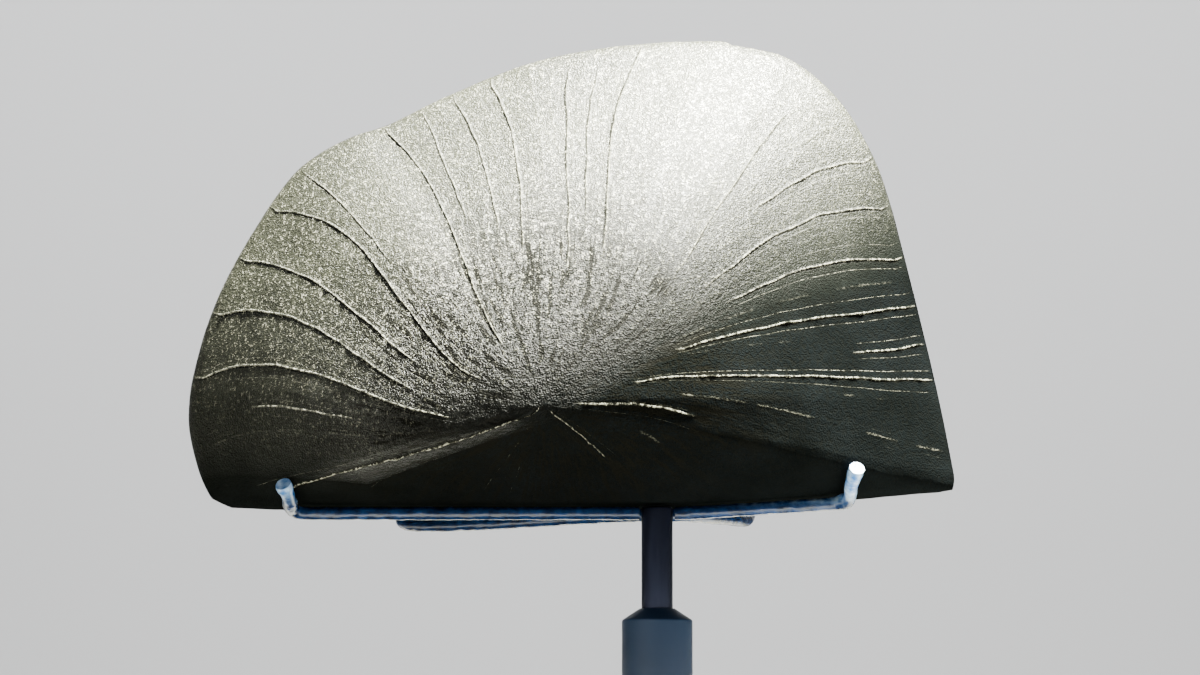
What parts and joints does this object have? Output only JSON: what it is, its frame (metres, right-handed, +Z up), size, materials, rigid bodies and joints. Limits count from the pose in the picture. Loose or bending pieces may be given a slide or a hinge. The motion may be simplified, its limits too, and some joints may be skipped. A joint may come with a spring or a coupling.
{
  "type": "martian meteorite on display stand",
  "caption": "Blunt stone meteorite with thin flow ridges radiating from a low nose, resting on a bent rod cradle with a stem, post and round base.",
  "frame": {"origin": "centre of the round base's underside, on the stem's axis", "axes": "+Z up along the stem, the stone's ridged front faces -Y, +X to the right seen from the front"},
  "size_m": [0.1145, 0.0747, 0.1137],
  "materials": {
    "crust": "satin glassy fusion crust",
    "sleeve": "wrinkled blue sleeve over a steel rod",
    "steel": "dark blued steel",
    "paint": "satin slate blue paint"
  },
  "bodies": {
    "root": {"meteorite": "crust", "front_left_arm": "sleeve", "front_right_arm": "sleeve", "rear_yoke": "sleeve", "stem": "steel", "post": "paint", "base_plate": "paint"}
  },
  "joints": []
}
